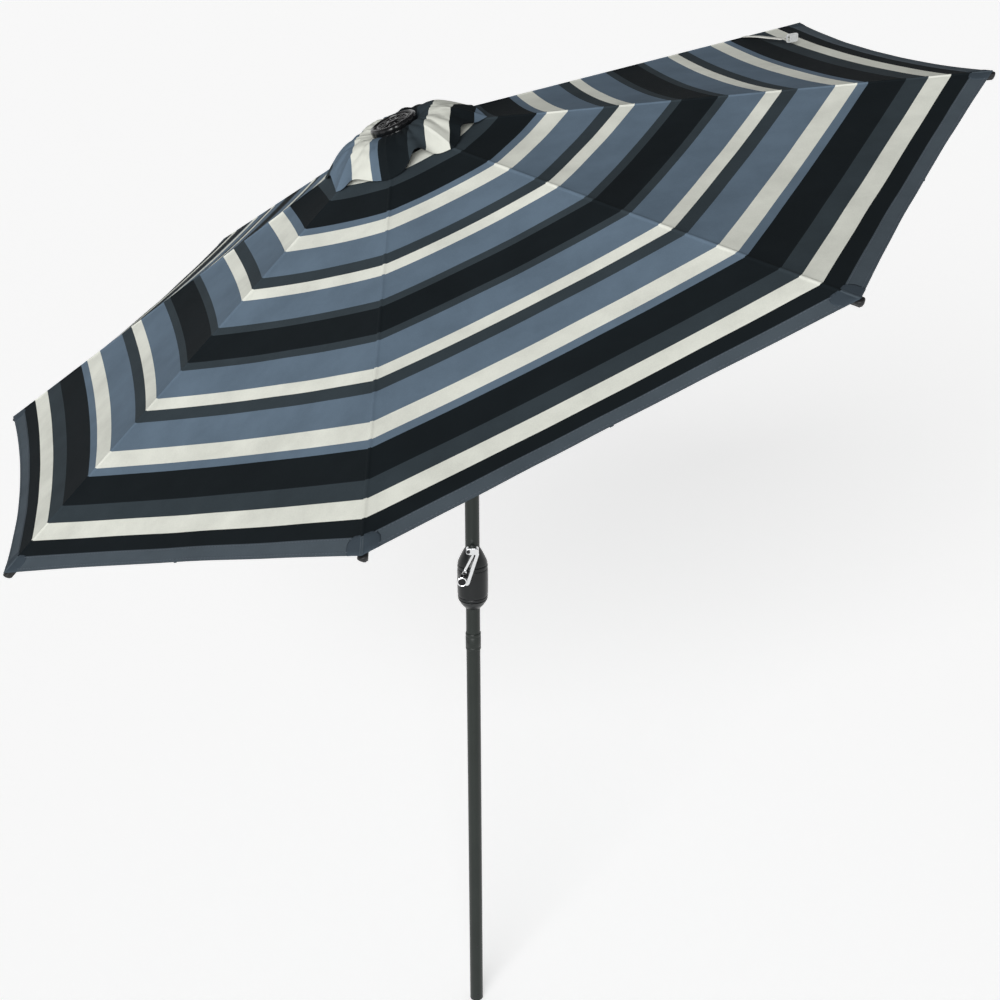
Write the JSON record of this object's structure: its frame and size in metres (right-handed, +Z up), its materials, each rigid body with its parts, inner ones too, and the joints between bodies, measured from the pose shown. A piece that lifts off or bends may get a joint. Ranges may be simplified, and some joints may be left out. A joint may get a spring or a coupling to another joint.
{
  "type": "tilting beach umbrella",
  "caption": "Beach umbrella with a striped, vented octagonal canopy tilted on its mast, folding ribs and stretchers, a runner, and a crank housing with a folding-frame handle on the pole.",
  "frame": {"origin": "centre of the pole's foot, on its bottom face", "axes": "+Z up along the pole; the mast leans towards -X and the tilt knuckle's pin lies along Y"},
  "size_m": [2.2283, 2.4234, 2.7483],
  "materials": {
    "pole_paint": "satin dark green-black paint",
    "housing_plastic": "semi-gloss black",
    "black_plastic": "moulded black",
    "finial_plastic": "gloss black",
    "knob_plastic": "gloss black with a bright end ring",
    "crank_chrome": "polished chrome",
    "rivet_steel": "plated steel",
    "frame_paint": "black powder coat",
    "canopy_cloth": "woven canopy cloth in concentric stripes of black, dark grey, slate blue and off-white",
    "strap_webbing": "off-white webbing with a grey buckle"
  },
  "bodies": {
    "pole": {"foot_cap": "black_plastic", "lower_pole": "pole_paint", "pole_coupling": "pole_paint", "middle_pole": "pole_paint", "housing_front": "housing_plastic", "housing_rear": "housing_plastic", "tilt_lower_knuckle": "pole_paint", "tilt_pin": "rivet_steel"},
    "mast": {"tilt_upper_knuckle": "pole_paint", "upper_pole": "pole_paint", "top_hub": "black_plastic", "finial": "finial_plastic"},
    "rib_1": {"rib_1": "frame_paint", "rib_tip_1": "black_plastic", "rib_joint_1": "rivet_steel", "canopy_panel_1": "canopy_cloth", "tie_strap": "strap_webbing"},
    "rib_2": {"rib_2": "frame_paint", "rib_tip_2": "black_plastic", "rib_joint_2": "rivet_steel", "canopy_panel_2": "canopy_cloth"},
    "rib_3": {"rib_3": "frame_paint", "rib_tip_3": "black_plastic", "rib_joint_3": "rivet_steel", "canopy_panel_3": "canopy_cloth"},
    "rib_4": {"rib_4": "frame_paint", "rib_tip_4": "black_plastic", "rib_joint_4": "rivet_steel", "canopy_panel_4": "canopy_cloth"},
    "rib_5": {"rib_5": "frame_paint", "rib_tip_5": "black_plastic", "rib_joint_5": "rivet_steel", "canopy_panel_5": "canopy_cloth"},
    "rib_6": {"rib_6": "frame_paint", "rib_tip_6": "black_plastic", "rib_joint_6": "rivet_steel", "canopy_panel_6": "canopy_cloth"},
    "rib_7": {"rib_7": "frame_paint", "rib_tip_7": "black_plastic", "rib_joint_7": "rivet_steel", "canopy_panel_7": "canopy_cloth"},
    "rib_8": {"rib_8": "frame_paint", "rib_tip_8": "black_plastic", "rib_joint_8": "rivet_steel", "canopy_panel_8": "canopy_cloth"},
    "stretcher_1": {"stretcher_1": "frame_paint"},
    "stretcher_2": {"stretcher_2": "frame_paint"},
    "stretcher_3": {"stretcher_3": "frame_paint"},
    "stretcher_4": {"stretcher_4": "frame_paint"},
    "stretcher_5": {"stretcher_5": "frame_paint"},
    "stretcher_6": {"stretcher_6": "frame_paint"},
    "stretcher_7": {"stretcher_7": "frame_paint"},
    "stretcher_8": {"stretcher_8": "frame_paint"},
    "runner": {"runner": "black_plastic"},
    "crank": {"crank_arm": "crank_chrome", "winding_drum": "black_plastic"},
    "knob": {"crank_knob": "knob_plastic"},
    "button": {"tilt_button": "knob_plastic"}
  },
  "joints": [
    {"name": "tilt", "type": "hinge", "parent": "pole", "child": "mast", "pos_m": [0, 0, 2.178], "axis": [0, 1, 0], "range_deg": [0, 23.3]},
    {"name": "fold_1", "type": "hinge", "parent": "mast", "child": "rib_1", "pos_m": [-0.13943, 0.01301, 2.58116], "axis": [-0.3515, 0.9239, -0.1514], "range_deg": [0, 12.4], "deforming": ["canopy_panel_1"]},
    {"name": "fold_2", "type": "hinge", "parent": "mast", "child": "rib_2", "pos_m": [-0.15633, 0.03141, 2.57388], "axis": [-0.8485, 0.3827, -0.3654], "range_deg": [0, 12.4], "deforming": ["canopy_panel_2"]},
    {"name": "fold_3", "type": "hinge", "parent": "mast", "child": "rib_3", "pos_m": [-0.18023, 0.03141, 2.56359], "axis": [-0.8485, -0.3827, -0.3654], "range_deg": [0, 12.4], "deforming": ["canopy_panel_3"]},
    {"name": "fold_4", "type": "hinge", "parent": "mast", "child": "rib_4", "pos_m": [-0.19713, 0.01301, 2.55631], "axis": [-0.3515, -0.9239, -0.1514], "range_deg": [0, 12.4], "deforming": ["canopy_panel_4"]},
    {"name": "fold_5", "type": "hinge", "parent": "mast", "child": "rib_5", "pos_m": [-0.19713, -0.01301, 2.55631], "axis": [0.3515, -0.9239, 0.1514], "range_deg": [0, 12.4], "deforming": ["canopy_panel_5"]},
    {"name": "fold_6", "type": "hinge", "parent": "mast", "child": "rib_6", "pos_m": [-0.18023, -0.03141, 2.56359], "axis": [0.8485, -0.3827, 0.3654], "range_deg": [0, 12.4], "deforming": ["canopy_panel_6"]},
    {"name": "fold_7", "type": "hinge", "parent": "mast", "child": "rib_7", "pos_m": [-0.15633, -0.03141, 2.57388], "axis": [0.8485, 0.3827, 0.3654], "range_deg": [0, 12.4], "deforming": ["canopy_panel_7"]},
    {"name": "fold_8", "type": "hinge", "parent": "mast", "child": "rib_8", "pos_m": [-0.13943, -0.01301, 2.58116], "axis": [0.3515, 0.9239, 0.1514], "range_deg": [0, 12.4], "deforming": ["canopy_panel_8"]},
    {"name": "strut_1", "type": "hinge", "parent": "rib_1", "child": "stretcher_1", "pos_m": [0.21135, 0.15321, 2.62236], "axis": [-0.3515, 0.9239, -0.1514], "range_deg": [-25, 0]},
    {"name": "strut_2", "type": "hinge", "parent": "rib_2", "child": "stretcher_2", "pos_m": [0.01235, 0.36988, 2.53666], "axis": [-0.8485, 0.3827, -0.3654], "range_deg": [-25, 0]},
    {"name": "strut_3", "type": "hinge", "parent": "rib_3", "child": "stretcher_3", "pos_m": [-0.26908, 0.36988, 2.41545], "axis": [-0.8485, -0.3827, -0.3654], "range_deg": [-25, 0]},
    {"name": "strut_4", "type": "hinge", "parent": "rib_4", "child": "stretcher_4", "pos_m": [-0.46808, 0.15321, 2.32975], "axis": [-0.3515, -0.9239, -0.1514], "range_deg": [-25, 0]},
    {"name": "strut_5", "type": "hinge", "parent": "rib_5", "child": "stretcher_5", "pos_m": [-0.46808, -0.15321, 2.32975], "axis": [0.3515, -0.9239, 0.1514], "range_deg": [-25, 0]},
    {"name": "strut_6", "type": "hinge", "parent": "rib_6", "child": "stretcher_6", "pos_m": [-0.26908, -0.36988, 2.41545], "axis": [0.8485, -0.3827, 0.3654], "range_deg": [-25, 0]},
    {"name": "strut_7", "type": "hinge", "parent": "rib_7", "child": "stretcher_7", "pos_m": [0.01235, -0.36988, 2.53666], "axis": [0.8485, 0.3827, 0.3654], "range_deg": [-25, 0]},
    {"name": "strut_8", "type": "hinge", "parent": "rib_8", "child": "stretcher_8", "pos_m": [0.21135, -0.15321, 2.62236], "axis": [0.3515, 0.9239, 0.1514], "range_deg": [-25, 0]},
    {"name": "runner_pivot", "type": "hinge", "parent": "stretcher_1", "child": "runner", "pos_m": [-0.0596, 0.01301, 2.3958], "axis": [-0.3515, 0.9239, -0.1514], "range_deg": [0, 12.6]},
    {"name": "crank_turn", "type": "hinge", "parent": "pole", "child": "crank", "pos_m": [0, 0, 1.495], "axis": [-0.2368, -0.9715, 0], "range_deg": [0, 935]},
    {"name": "knob_spin", "type": "hinge", "parent": "crank", "child": "knob", "pos_m": [-0.04141, -0.05166, 1.42], "axis": [-0.2368, -0.9715, 0], "continuous": true},
    {"name": "tilt_button_press", "type": "slide", "parent": "pole", "child": "button", "axis": [1, 0, 0], "range_m": [0, 0.0025], "stiffness_N_per_m": 600, "springref_m": -0.002}
  ],
  "couplings": [
    {"joint": "fold_2", "follows": "fold_1", "ratio": 1},
    {"joint": "fold_3", "follows": "fold_1", "ratio": 1},
    {"joint": "fold_4", "follows": "fold_1", "ratio": 1},
    {"joint": "fold_5", "follows": "fold_1", "ratio": 1},
    {"joint": "fold_6", "follows": "fold_1", "ratio": 1},
    {"joint": "fold_7", "follows": "fold_1", "ratio": 1},
    {"joint": "fold_8", "follows": "fold_1", "ratio": 1},
    {"joint": "strut_1", "follows": "fold_1", "ratio": -2},
    {"joint": "strut_2", "follows": "fold_1", "ratio": -2},
    {"joint": "strut_3", "follows": "fold_1", "ratio": -2},
    {"joint": "strut_4", "follows": "fold_1", "ratio": -2},
    {"joint": "strut_5", "follows": "fold_1", "ratio": -2},
    {"joint": "strut_6", "follows": "fold_1", "ratio": -2},
    {"joint": "strut_7", "follows": "fold_1", "ratio": -2},
    {"joint": "strut_8", "follows": "fold_1", "ratio": -2},
    {"joint": "runner_pivot", "follows": "fold_1", "ratio": 1},
    {"joint": "crank_turn", "follows": "fold_1", "ratio": 75}
  ]
}
